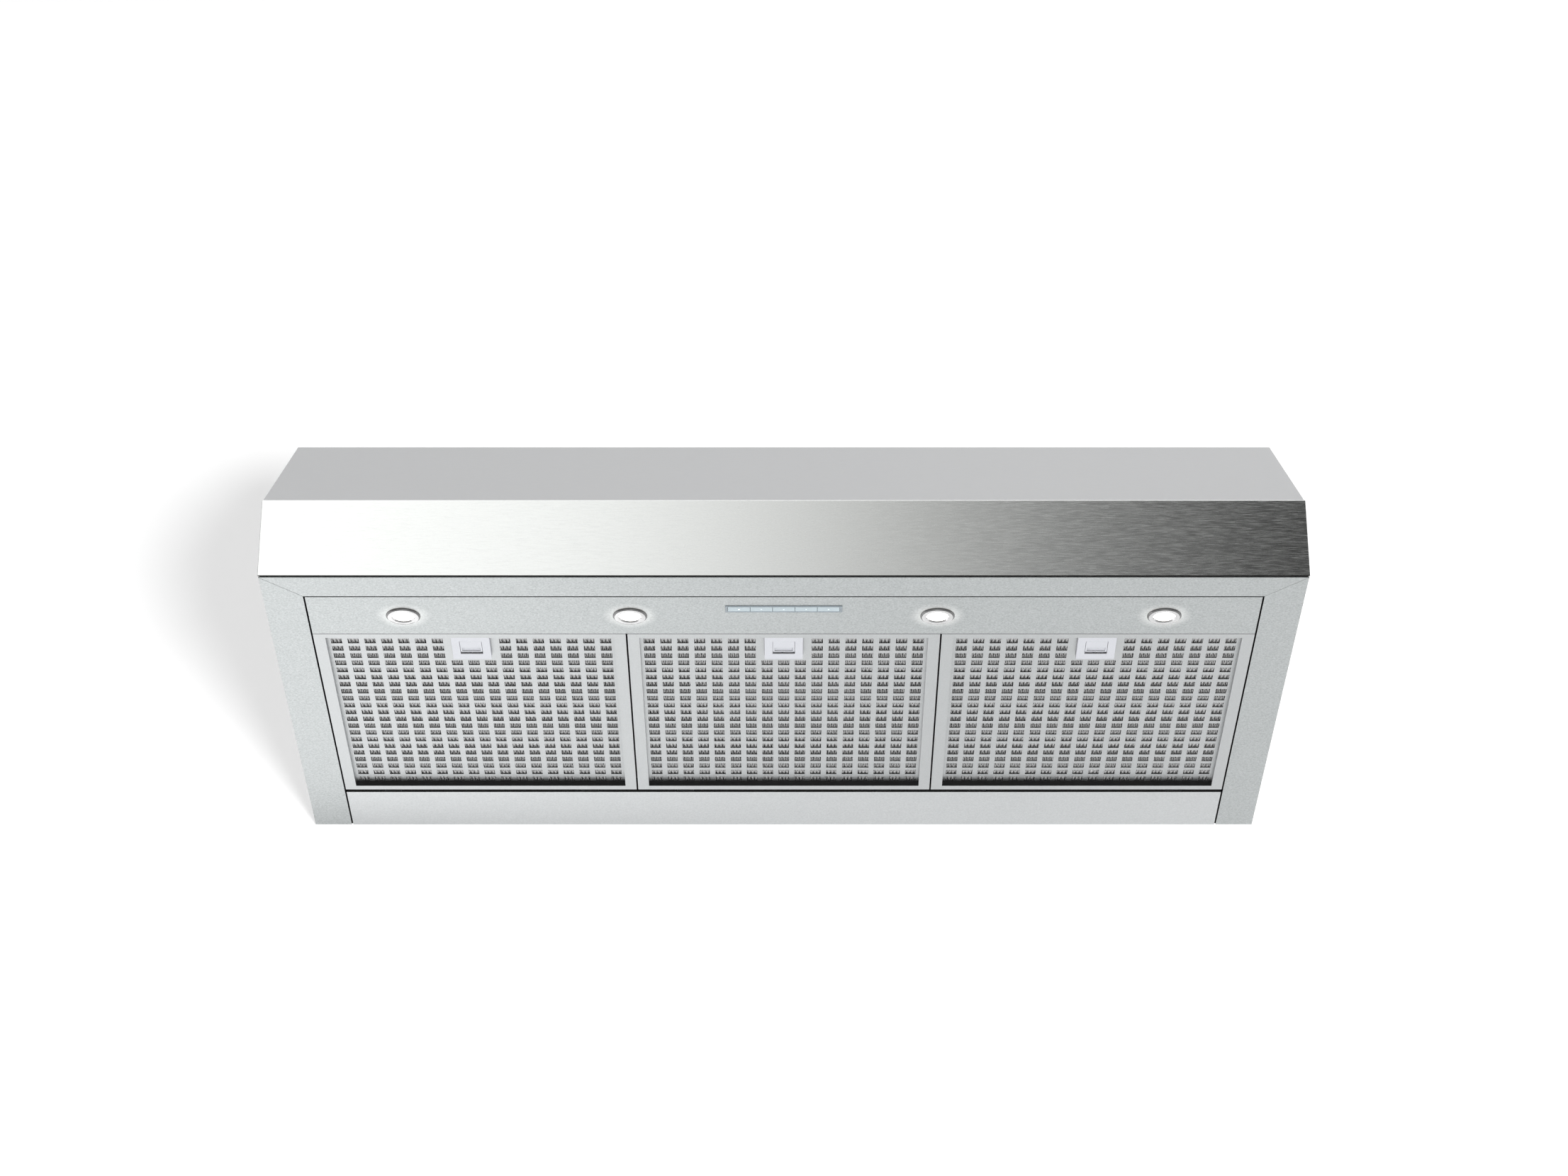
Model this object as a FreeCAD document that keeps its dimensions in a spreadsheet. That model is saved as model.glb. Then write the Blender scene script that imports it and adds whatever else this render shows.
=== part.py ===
import FreeCAD, Part
import os
import Sketcher

# Under cabinet range hood, millimetres, +Z up, front towards -Y.
# The origin is the middle of the cabinet screw pattern, on the top face of the top panel.
# Every piece is drawn from the hood's front bottom edge (y back, z up) or from its own datum,
# and its Placement then carries it to its place.

SIZES = (
    # shell
    ("width", 1219), ("depth", 690), ("height", 334), ("lip_height", 102), ("slope_run", 285),
    ("sheet", 1.2), ("fit", 0.3), ("lip_flange", 22), ("slope_flange", 18), ("top_flange", 18),
    ("flange_gap", 1), ("lip_gap", 2.5), ("rim_width", 47), ("rim_flange", 14),
    ("rim_relief", 4), ("mitre_gap", 0.4), ("step_inset", 2), ("panel_gap", 2),
    ("light_panel_back", 143), ("ledge_height", 20), ("rear_panel_depth", 100),
    ("screw_head", 3.5), ("screw_sunk", 0.12), ("screw_inset", 81),
    # filters
    ("front_gap", 1), ("rear_gap", 7.8), ("between_filters", 2), ("filter_tall", 12),
    ("recess", 7), ("skin", 0.8), ("border_front", 10), ("border_rear", 11), ("border_side", 14),
    ("crimp", 5), ("face_play", 0.1), ("hole_wide", 13.3), ("hole_deep", 12.4),
    ("pitch_across", 20.1), ("pitch_back", 19.4), ("first_row", 32), ("mesh_thick", 0.4),
    ("mesh_play", 0.2), ("tab_wide", 20), ("tab_thick", 1.5), ("tab_inset", 60),
    ("tab_past", 5.5), ("tab_side", 1), ("tab_slot", 9), ("pivot_up", 6.75),
    # latches
    ("latch_wide", 46), ("latch_wall", 6), ("latch_nose", 4), ("latch_tall", 8.6),
    ("latch_low", 0.4), ("latch_plate", 1.8), ("latch_gap", 0.5), ("latch_play", 0.2),
    ("latch_margin", 1), ("thumb_wide", 26), ("thumb_deep", 27), ("thumb_start", 11),
    ("latch_travel", 5), ("slider_lap", 1.6), ("slider_drop", 0.6), ("slider_play", 0.4),
    ("dish_inset", 2), ("dish_deep", 9), ("tongue_wide", 17), ("tongue_low", 3),
    ("tongue_thick", 3), ("slot_side", 1.5), ("slot_play", 0.6), ("spring_room", 13),
    ("spring_wire", 0.35), ("spring_radius", 1.4), ("spring_pitch", 2.2),
    # lamps
    ("lamp_from_side", 111.3), ("lamp_from_strip", 112.15), ("lamp_offset", 0.6),
    ("lamp_ring", 20.25), ("lamp_hole", 17), ("lamp_proud", 2.5), ("bezel_slant", 1.3),
    ("bezel_round", 2), ("bezel_edge", 0.8), ("lamp_play", 0.2), ("neck_wall", 1.5),
    ("neck_tall", 10), ("lens_radius", 12), ("lens_sunk", 0.6), ("lens_thick", 2.4),
    ("lens_ledge", 1), ("cup_up", 2), ("lamp_tall", 26), ("reflector_deep", 11),
    # controls
    ("strip_wide", 137.7), ("strip_deep", 15), ("strip_in", 29.7), ("strip_proud", 1),
    ("strip_end", 3.1), ("strip_edge", 2.2), ("strip_lap", 1.5), ("strip_lip", 1),
    ("strip_neck", 6), ("key_gap", 0.4), ("key_sunk", 0.2), ("key_shoulder", 1),
    ("key_lap", 1.3), ("key_travel", 0.8), ("switch_gap", 0.2), ("switch_half", 3),
    ("board_up", 11), ("board_thick", 1.6), ("board_inset", 3), ("board_half", 14),
    ("control_tall", 24), ("control_reach", 6), ("control_half", 18), ("control_wall", 2),
    # duct
    ("collar_radius", 100.3), ("collar_wall", 0.8), ("collar_tall", 50), ("collar_flange", 16),
    ("rod_radius", 2), ("rod_up", 25), ("running", 0.05), ("flap_thick", 0.8), ("flap_gap", 1.2),
    ("knuckle_wall", 1.2), ("knuckle_play", 0.4), ("knuckle_inset", 19.5), ("knuckle_gap", 2),
    ("leaf_lap", 1),
    # blower
    ("blower_over", 47), ("blower_under", 51), ("blower_wide", 200), ("throat_inset", 1.5),
    ("scroll_gap", 30), ("wheel_gap", 10), ("inlet_lip", 8), ("ring_thick", 3), ("ring_out", 8),
    ("ring_in", 4), ("plate_thick", 3), ("blade_deep", 15), ("blade_rake", 3),
    ("blade_thick", 1.2), ("blade_inset", 0.4), ("hub_radius", 14), ("hub_long", 16),
    ("shaft_radius", 4), ("shaft_past", 20), ("shaft_grip", 12), ("socket_spare", 2),
    ("motor_radius", 42), ("motor_long", 100), ("motor_gap", 4), ("bracket_grip", 9),
    ("clamp_wall", 4), ("arm_wide", 12), ("capacitor_gap", 40), ("capacitor_radius", 20),
    ("capacitor_long", 70),
    # electrical parts
    ("cable_hole", 11.1), ("cable_from_side", 188.3), ("cable_from_back", 100),
    ("junction_wide", 100), ("junction_deep", 60), ("junction_tall", 45), ("driver_wide", 120),
    ("driver_deep", 40), ("driver_tall", 30), ("channel_start", 20), ("channel_end", 10),
    ("channel_gap", 11.4), ("channel_tall", 13), ("channel_wall", 1),
    # fixing holes
    ("screw_hole", 3.25), ("top_hole_side", 108.3), ("top_hole_edge", 52.5),
    ("wall_hole_side", 208.3), ("wall_hole_edge", 77),
)
BLADES = 28
ARMS = 3
MESH_LAYERS = 3

doc = FreeCAD.newDocument("range_hood")
sheet = doc.addObject("Spreadsheet::Sheet", "size")
for row, (alias, value) in enumerate(SIZES, start=1):
    sheet.set(f"A{row}", alias)
    sheet.set(f"B{row}", str(value))
    sheet.setAlias(f"B{row}", alias)
doc.recompute()

# Places that many pieces share, as expressions.
FRONT = "(-size.slope_run - (size.depth - size.slope_run) / 2)"
BOTTOM = "(-size.height)"
SHELL = "(size.width / 2 - size.sheet)"
RISE = "((size.height - size.lip_height) / size.slope_run)"
LEAN = f"sqrt(1 + {RISE}^2)"
DUCT_Y = "((size.depth + size.slope_run) / 2)"
PANEL_SIDE = f"({SHELL} - size.rim_width - size.panel_gap)"
FILTER_WIDE = f"((2 * {PANEL_SIDE} - 2 * size.between_filters) / 3)"
FILTER_FRONT = "(size.light_panel_back + size.front_gap)"
REAR_PANEL = "(size.depth - size.rear_panel_depth)"
FILTER_DEEP = f"({REAR_PANEL} - size.rear_gap - {FILTER_FRONT})"
LATCH_START = "(size.border_front + size.latch_gap)"
LATCH_DEEP = "(size.thumb_start + size.thumb_deep + size.spring_room + size.latch_wall)"
LATCH_ROOM = f"({LATCH_START} + {LATCH_DEEP} + 2 * size.latch_play)"
PANEL_FRONT = "(size.rim_width + size.panel_gap)"
STRIP_Y = f"({PANEL_FRONT} + size.strip_in)"
LAMP_Y = f"(({PANEL_FRONT} + size.light_panel_back) / 2 + size.lamp_offset)"
LAMP_OUTER = f"({PANEL_SIDE} - size.lamp_from_side)"
LAMP_INNER = "(size.strip_wide / 2 + size.lamp_from_strip)"
CABLE_X = f"({SHELL} - size.cable_from_side)"
CABLE_Y = "(size.depth - size.cable_from_back)"
BLOWER_RADIUS = "((size.height - size.blower_over - size.blower_under) / 2)"
BLOWER_DROP = f"(size.blower_over + {BLOWER_RADIUS})"
WHEEL_RADIUS = f"({BLOWER_RADIUS} - size.scroll_gap)"
INLET_RADIUS = f"({WHEEL_RADIUS} - size.inlet_lip)"

KEYS = ("power_key", "slower_key", "faster_key", "timer_key", "light_key")
KEY_WIDE = f"((size.strip_wide - 2 * size.strip_end) / {len(KEYS)})"
KEY_DEEP = "(size.strip_deep - 2 * size.strip_edge)"
LAMPS = {"far_left": f"-{LAMP_OUTER}", "left": f"-{LAMP_INNER}",
         "right": LAMP_INNER, "far_right": LAMP_OUTER}
FILTERS = (("left", f"(-{FILTER_WIDE} - size.between_filters)"), ("middle", "0"),
           ("right", f"({FILTER_WIDE} + size.between_filters)"))

pieces = []
ALONG_X = FreeCAD.Rotation(FreeCAD.Vector(0, 1, 0), 90)
ALONG_Y = FreeCAD.Rotation(FreeCAD.Vector(1, 0, 0), -90)


def number(expression):
    """The value that an expression has now."""
    value = sheet.evalExpression(expression)
    return float(getattr(value, "Value", value))


def piece(solid, label, x="0", y=FRONT, z=BOTTOM):
    """Name a finished solid and bind its Placement. A bare primitive keeps its own place."""
    if solid.TypeId in ("Part::Box", "Part::Cylinder"):
        solid = group(solid)
    solid.Label = label
    solid.setExpression("Placement.Base.x", x)
    solid.setExpression("Placement.Base.y", y)
    solid.setExpression("Placement.Base.z", z)
    pieces.append(solid)
    return solid


def box(x, y, z):
    """A block between two values on each axis."""
    solid = doc.addObject("Part::Box", "block")
    for side, axis, (low, high) in (("Length", "x", x), ("Width", "y", y), ("Height", "z", z)):
        solid.setExpression(side, f"({high}) - ({low})")
        solid.setExpression(f"Placement.Base.{axis}", low)
    return solid


def rod(x, y, z, radius, length, turn=None):
    """A cylinder from a start point, up unless turned."""
    solid = doc.addObject("Part::Cylinder", "round")
    if turn:
        solid.Placement = FreeCAD.Placement(FreeCAD.Vector(), turn)
    solid.setExpression("Radius", radius)
    solid.setExpression("Height", length)
    for axis, place in (("x", x), ("y", y), ("z", z)):
        solid.setExpression(f"Placement.Base.{axis}", place)
    return solid


def fuse(*solids):
    joined = doc.addObject("Part::MultiFuse", "joined")
    joined.Shapes = list(solids)
    joined.Refine = True
    return joined


def cut(base, *tools):
    result = doc.addObject("Part::Cut", "cut")
    result.Base = base
    result.Tool = tools[0] if len(tools) == 1 else fuse(*tools)
    return result


def tube(x, y, z, outer, inner, length, turn=None):
    return cut(rod(x, y, z, outer, length, turn), rod(x, y, z, inner, length, turn))


def group(*solids):
    """Separate solids that make one node."""
    together = doc.addObject("Part::Compound", "group")
    together.Links = list(solids)
    return together


def sketch(body, role, points):
    """A closed outline on one of the body's own planes, each corner bound to the sheet."""
    outline = body.newObject("Sketcher::SketchObject", "outline")
    plane = [item for item in body.Origin.OriginFeatures if item.Role == role][0]
    outline.AttachmentSupport = (plane, [""])
    outline.MapMode = "FlatFace"
    corners = [FreeCAD.Vector(number(a), number(b), 0) for a, b in points]
    count = len(corners)
    for index in range(count):
        outline.addGeometry(Part.LineSegment(corners[index], corners[(index + 1) % count]), False)
    for index in range(count):
        outline.addConstraint(Sketcher.Constraint("Coincident", index, 2, (index + 1) % count, 1))
    for index, (across, up) in enumerate(points):
        for kind, text, value in (("DistanceX", across, corners[index].x),
                                  ("DistanceY", up, corners[index].y)):
            place = outline.addConstraint(Sketcher.Constraint(kind, -1, 1, index, 1, value))
            outline.setExpression(f"Constraints[{place}]", text)
    return outline


def pad(body, role, points, length, middle=False):
    feature = body.newObject("PartDesign::Pad", "pad")
    feature.Profile = sketch(body, role, points)
    feature.Midplane = middle
    feature.setExpression("Length", length)
    return feature


def rectangle(x, y):
    return [(x[0], y[0]), (x[1], y[0]), (x[1], y[1]), (x[0], y[1])]


def sheet_body():
    return doc.addObject("PartDesign::Body", "body")


def turned(label, points, x, y, z=BOTTOM):
    """A round piece turned about its own upright axis from half its section."""
    body = sheet_body()
    feature = body.newObject("PartDesign::Revolution", "turn")
    profile = sketch(body, "XZ_Plane", points)
    feature.Profile = profile
    feature.ReferenceAxis = (profile, ["V_Axis"])
    feature.Angle = 360
    return piece(body, label, x, y, z)


# ---------------------------------------------------------------- shell
def front_fascia():
    """The upright lip: one sheet with a bottom return and a raked top return."""
    body = sheet_body()
    pad(body, "YZ_Plane", [
        ("0", "size.lip_gap"), ("size.sheet", "size.lip_gap"),
        ("size.sheet", f"size.lip_height + size.sheet * {RISE}"), ("0", "size.lip_height"),
    ], "size.width", True)
    inside = f"2 * ({SHELL} - size.sheet - size.fit)"
    pad(body, "YZ_Plane", rectangle(("size.sheet", "size.lip_flange"),
                                    ("size.lip_gap", "size.lip_gap + size.sheet")), inside, True)
    lap = "(size.sheet + size.slope_flange)"
    under = f"size.lip_height - size.sheet * {LEAN}"
    pad(body, "YZ_Plane", [
        ("size.sheet", f"{under} + size.sheet * {RISE}"),
        ("size.sheet", f"{under} + size.sheet * {RISE} - size.sheet * {LEAN}"),
        (lap, f"{under} + {lap} * {RISE} - size.sheet * {LEAN}"),
        (lap, f"{under} + {lap} * {RISE}"),
    ], inside, True)
    piece(body, "front_fascia")


def slope_panel():
    """The raked sheet from the lip to the top, with a flange under the top panel."""
    body = sheet_body()
    pad(body, "YZ_Plane", [
        ("size.sheet", f"size.lip_height + size.sheet * {RISE}"),
        ("size.slope_run", "size.height"),
        ("size.slope_run", "size.height - size.sheet"),
        ("size.slope_run + size.slope_flange", "size.height - size.sheet"),
        ("size.slope_run + size.slope_flange", "size.height - 2 * size.sheet"),
        (f"(size.height - 2 * size.sheet - size.lip_height + size.sheet * {LEAN}) / {RISE}",
         "size.height - 2 * size.sheet"),
        ("size.sheet", f"size.lip_height + size.sheet * {RISE} - size.sheet * {LEAN}"),
    ], f"2 * ({SHELL})", True)
    piece(body, "slope_panel")


def top_panel():
    """The flat top, with side flanges, the duct hole, the cabinet holes and a cable hole."""
    top = ("size.height - size.sheet", "size.height")
    plate = box((f"-{SHELL}", SHELL), ("size.slope_run", "size.depth"), top)
    flanges = []
    for side in (-1, 1):
        low, high = f"{SHELL} - 2 * size.sheet", f"{SHELL} - size.sheet"
        ends = (low, high) if side > 0 else (f"-({high})", f"-({low})")
        flanges.append(box(
            ends,
            ("size.slope_run + size.slope_flange + size.flange_gap", "size.depth - size.sheet"),
            ("size.height - size.sheet - size.top_flange", "size.height - size.sheet")))
    under = "size.height - 2 * size.sheet"
    through = "3 * size.sheet"
    holes = [rod("0", DUCT_Y, under, "size.collar_radius", through)]
    for side in (-1, 1):
        for end in (-1, 1):
            x = f"{side} * ({SHELL} - size.top_hole_side)"
            y = f"{DUCT_Y} + {end} * ((size.depth - size.slope_run) / 2 - size.top_hole_edge)"
            holes.append(rod(x, y, under, "size.screw_hole", through))
    holes.append(rod(CABLE_X, CABLE_Y, under, "size.cable_hole", through))
    piece(cut(fuse(plate, *flanges), *holes), "top_panel")


def back_panel():
    """The back sheet, with four wall holes."""
    plate = box((f"-{SHELL}", SHELL), ("size.depth - size.sheet", "size.depth"),
                ("size.sheet", "size.height - size.sheet"))
    holes = []
    for side in (-1, 1):
        for end in (-1, 1):
            x = f"{side} * ({SHELL} - size.wall_hole_side)"
            z = f"size.height / 2 + {end} * (size.height / 2 - size.wall_hole_edge)"
            holes.append(rod(x, "size.depth - 2 * size.sheet", z, "size.screw_hole",
                             "3 * size.sheet", ALONG_Y))
    piece(cut(plate, *holes), "back_panel")


def side_panel(side, label):
    """One end of the shell: its outline follows the lip, the slope, its flange and the top."""
    under = f"size.lip_height - size.sheet * {LEAN}"
    step = "size.slope_run + size.slope_flange + size.fit"
    body = sheet_body()
    pad(body, "YZ_Plane", [
        ("size.sheet", "size.sheet"),
        ("size.depth - size.sheet", "size.sheet"),
        ("size.depth - size.sheet", "size.height - size.sheet"),
        (step, "size.height - size.sheet"),
        (step, "size.height - 2 * size.sheet"),
        (f"(size.height - 2 * size.sheet - ({under})) / {RISE}", "size.height - 2 * size.sheet"),
        ("size.sheet", f"{under} + size.sheet * {RISE}"),
    ], "size.sheet")
    piece(body, label, f"{SHELL} - size.sheet" if side > 0 else f"-{SHELL}")


def front_rim():
    """The front border strip: mitred ends, an upturned inner edge and a step under the lip."""
    body = sheet_body()
    back = "size.rim_width"
    inner = f"({SHELL} - size.rim_width)"
    gap = "size.mitre_gap / 2"
    pad(body, "XY_Plane", [
        (f"-{SHELL} + {gap}", "0"), (f"{SHELL} - {gap}", "0"),
        (f"{inner} - {gap}", back), (f"-{inner} + {gap}", back),
    ], "size.sheet")
    flange_half = f"({inner} - size.sheet - {gap})"
    pad(body, "XY_Plane", rectangle((f"-{flange_half}", flange_half),
                                    (f"{back} - size.sheet", back)), "size.rim_flange")
    reach = f"{SHELL} - 2 * size.sheet - size.step_inset"
    pad(body, "XY_Plane", rectangle((f"-({reach})", reach), ("2 * size.sheet", "3 * size.sheet")),
        "size.lip_gap")
    piece(body, "front_rim")


def side_rim(side, label):
    """A side border strip, mitred at the front, flanged inside the side panel and inboard."""
    body = sheet_body()
    outer = f"{side} * {SHELL}"
    inner = f"{side} * ({SHELL} - size.rim_width)"
    gap = "size.mitre_gap / 2"
    points = [(outer, gap), (inner, f"size.rim_width + {gap}"), (inner, "size.depth"),
              (outer, "size.depth")]
    pad(body, "XY_Plane", points, "size.sheet")
    pad(body, "XY_Plane", rectangle(
        (f"{inner} + {side} * size.sheet", inner) if side < 0 else (inner, f"{inner} + size.sheet"),
        (f"size.rim_width + {gap}", "size.depth - size.sheet")), "size.rim_flange")
    near, far = f"{outer} - {side} * size.sheet", f"{outer} - {side} * 2 * size.sheet"
    pad(body, "XY_Plane", rectangle((near, far) if side < 0 else (far, near),
                                    ("size.lip_flange + size.rim_relief", "size.depth - size.sheet")),
        "size.rim_flange")
    piece(body, label)


def light_panel():
    """The strip for lamps and keys; its back edge turns up to face the filters."""
    across = (f"-{PANEL_SIDE}", PANEL_SIDE)
    back = "size.light_panel_back"
    plate = box(across, (PANEL_FRONT, back), ("0", "size.sheet"))
    ledge = box(across, (f"{back} - size.sheet", back), ("0", "size.ledge_height"))
    holes = [rod(x, LAMP_Y, "-size.sheet", "size.lamp_hole", "3 * size.sheet")
             for x in LAMPS.values()]
    half, deep = "(size.strip_wide / 2 - size.strip_lap)", "(size.strip_deep / 2 - size.strip_lip)"
    holes.append(box((f"-{half}", half), (f"{STRIP_Y} - {deep}", f"{STRIP_Y} + {deep}"),
                     ("-size.sheet", "2 * size.sheet")))
    reach = "(size.tongue_wide / 2 + size.slot_side)"
    for _, middle in FILTERS:
        holes.append(box((f"{middle} - {reach}", f"{middle} + {reach}"),
                         (f"{back} - 2 * size.sheet", f"{back} + size.sheet"),
                         ("size.tongue_low - size.slot_play",
                          "size.tongue_low + size.tongue_thick + size.slot_play")))
    piece(cut(fuse(plate, ledge), *holes), "light_panel")


def rear_panel():
    """The plain strip behind the filters; its front flange is slotted for the filter tabs."""
    plate = box((f"-{PANEL_SIDE}", PANEL_SIDE), (REAR_PANEL, "size.depth"), ("0", "size.sheet"))
    flange = box((f"-{PANEL_SIDE}", PANEL_SIDE), (REAR_PANEL, f"{REAR_PANEL} + size.sheet"),
                 ("0", "size.ledge_height"))
    slots = []
    for _, middle in FILTERS:
        for side in (-1, 1):
            tab = f"{middle} + {side} * ({FILTER_WIDE} / 2 - size.tab_inset)"
            reach = "(size.tab_wide / 2 + size.tab_side)"
            slots.append(box((f"{tab} - {reach}", f"{tab} + {reach}"),
                             (f"{REAR_PANEL} - size.sheet", f"{REAR_PANEL} + 2 * size.sheet"),
                             ("size.pivot_up - size.tab_slot / 2",
                              "size.pivot_up + size.tab_slot / 2")))
    piece(cut(fuse(plate, flange), *slots), "rear_panel")


def shell_screws():
    """Low pan heads on the side panels, level with the top panel's flanges."""
    heads = []
    level = "size.height - size.sheet - size.top_flange / 2"
    tall = "(size.sheet - size.screw_sunk)"
    places = ("size.slope_run + size.screw_inset", "(size.slope_run + size.depth) / 2",
              "size.depth - size.screw_inset")
    for start in (SHELL, f"-{SHELL} - {tall}"):
        for y in places:
            heads.append(rod(start, y, level, "size.screw_head", tall, ALONG_X))
    piece(group(*heads), "shell_screws")


# ---------------------------------------------------------------- lamps and controls
def lamps():
    """Four round lamps, each a bezel below the panel, a lens in it and a body above."""
    ring, lens, proud = "size.lamp_ring", "size.lens_radius", "size.lamp_proud"
    neck = "(size.lamp_hole - size.lamp_play)"
    neck_inside = f"({neck} - size.neck_wall)"
    lens_seat = f"({lens} + size.lamp_play)"
    cups = []
    lenses = []
    for name, x in LAMPS.items():
        turned(f"{name}_lamp_bezel", [
            (lens_seat, "-size.lens_sunk"), (f"{lens_seat} + size.bezel_slant", f"-{proud}"),
            (f"{ring} - size.bezel_round", f"-{proud}"), (ring, "-size.bezel_edge"), (ring, "0"),
            (neck, "0"), (neck, "size.neck_tall"), (neck_inside, "size.neck_tall"),
            (neck_inside, "size.neck_wall"), (lens_seat, "size.neck_wall"),
        ], x, f"{FRONT} + {LAMP_Y}")
        cups.append(cut(
            rod(x, LAMP_Y, "size.cup_up", f"{neck_inside} - size.fit", "size.lamp_tall"),
            rod(x, LAMP_Y, "size.cup_up - 1", f"{lens} - size.lens_ledge",
                "size.reflector_deep + 1")))
        lenses.append(rod(x, LAMP_Y, "-size.lens_sunk", lens, "size.lens_thick"))
    piece(group(*cups), "lamp_bodies")
    piece(group(*lenses), "lamp_lenses")


def strip_box(half, deep, z):
    """A block about the middle of the key strip."""
    return box((f"-({half})", half), (f"{STRIP_Y} - ({deep})", f"{STRIP_Y} + ({deep})"), z)


def controls():
    """The key strip: a bezel through the panel, five keys, their board and a cover."""
    half, deep = "size.strip_wide / 2", "size.strip_deep / 2"
    outer = strip_box(half, deep, ("-size.strip_proud", "0"))
    neck = strip_box(f"{half} - size.strip_lap - size.fit", f"{deep} - size.strip_lip - size.fit",
                     ("0", "size.strip_neck"))
    hole = strip_box(f"{half} - size.strip_end", f"{KEY_DEEP} / 2 + size.key_gap / 2",
                     ("-size.strip_proud - 1", "size.strip_neck + 1"))
    piece(cut(fuse(outer, neck), hole), "control_bezel")

    shoulder_low = "(size.strip_neck + size.fit)"
    shoulder_top = f"({shoulder_low} + size.key_shoulder)"
    cap_half = f"(({KEY_WIDE} - size.key_gap) / 2)"
    across = (f"-{cap_half}", cap_half)
    switches = []
    for index, label in enumerate(KEYS):
        x = f"({index - (len(KEYS) - 1) // 2} * {KEY_WIDE})"
        cap = box(across, (f"-{KEY_DEEP} / 2", f"{KEY_DEEP} / 2"),
                  ("-size.strip_proud + size.key_sunk", shoulder_low))
        shoulder_half = f"({KEY_DEEP} / 2 + size.key_lap)"
        shoulder = box(across, (f"-{shoulder_half}", shoulder_half), (shoulder_low, shoulder_top))
        piece(fuse(cap, shoulder), label, x, f"{FRONT} + {STRIP_Y}")
        switches.append(box((f"{x} - size.switch_half", f"{x} + size.switch_half"),
                            (f"{STRIP_Y} - size.switch_half", f"{STRIP_Y} + size.switch_half"),
                            (f"{shoulder_top} + size.key_travel + size.switch_gap",
                             "size.board_up")))
    board = strip_box(f"{half} - size.board_inset", "size.board_half",
                      ("size.board_up", "size.board_up + size.board_thick"))
    piece(fuse(board, *switches), "control_board")

    reach = f"{half} + size.control_reach"
    piece(cut(strip_box(reach, "size.control_half", ("size.sheet", "size.control_tall")),
              strip_box(f"{reach} - size.control_wall", "size.control_half - size.control_wall",
                        ("0", "size.control_tall - size.control_wall"))), "control_box")


# ---------------------------------------------------------------- filters
def filter_frame(name, middle):
    """A folded channel frame: face border, inner wall, outer wall and a crimped top lip."""
    wide, deep, tall, skin = f"{FILTER_WIDE} / 2", FILTER_DEEP, "size.filter_tall", "size.skin"
    outer = box((f"-{wide}", wide), ("0", deep), ("0", tall))
    hollow = box((f"-{wide} + {skin}", f"{wide} - {skin}"), (skin, f"{deep} - {skin}"),
                 ("size.recess", f"{tall} - {skin}"))
    top = box((f"-{wide} + size.crimp", f"{wide} - size.crimp"),
              ("size.crimp", f"{deep} - size.crimp"), (f"{tall} - 2 * {skin}", f"{tall} + 1"))
    side, front, rear = "size.border_side", "size.border_front", "size.border_rear"
    window = box((f"-{wide} + {side}", f"{wide} - {side}"), (front, f"{deep} - {rear}"),
                 ("-1", "size.recess + 1"))
    channel = cut(
        box((f"-{wide} + {skin}", f"{wide} - {skin}"), (skin, f"{deep} - {skin}"),
            (skin, "size.recess + size.face_play")),
        box((f"-{wide} + {side} - {skin}", f"{wide} - {side} + {skin}"),
            (f"{front} - {skin}", f"{deep} - {rear} + {skin}"), ("0", "size.recess + 1")))
    slot_half = "(size.tongue_wide / 2 + size.slider_play)"
    slot = box((f"-{slot_half}", slot_half), ("-1", f"{front} + 1"),
               ("size.tongue_low - size.slider_play",
                "size.tongue_low + size.tongue_thick + size.slider_play"))
    tabs = []
    for side_sign in (-1, 1):
        tab = f"{side_sign} * ({wide} - size.tab_inset)"
        tabs.append(box((f"{tab} - size.tab_wide / 2", f"{tab} + size.tab_wide / 2"),
                        (f"{deep} - {skin}", f"{deep} + size.rear_gap + size.sheet + size.tab_past"),
                        ("size.pivot_up - size.tab_thick / 2",
                         "size.pivot_up + size.tab_thick / 2")))
    body = cut(outer, hollow, top, window, channel, slot)
    piece(fuse(body, *tabs), f"{name}_filter_frame", middle, f"{FRONT} + {FILTER_FRONT}")


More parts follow.
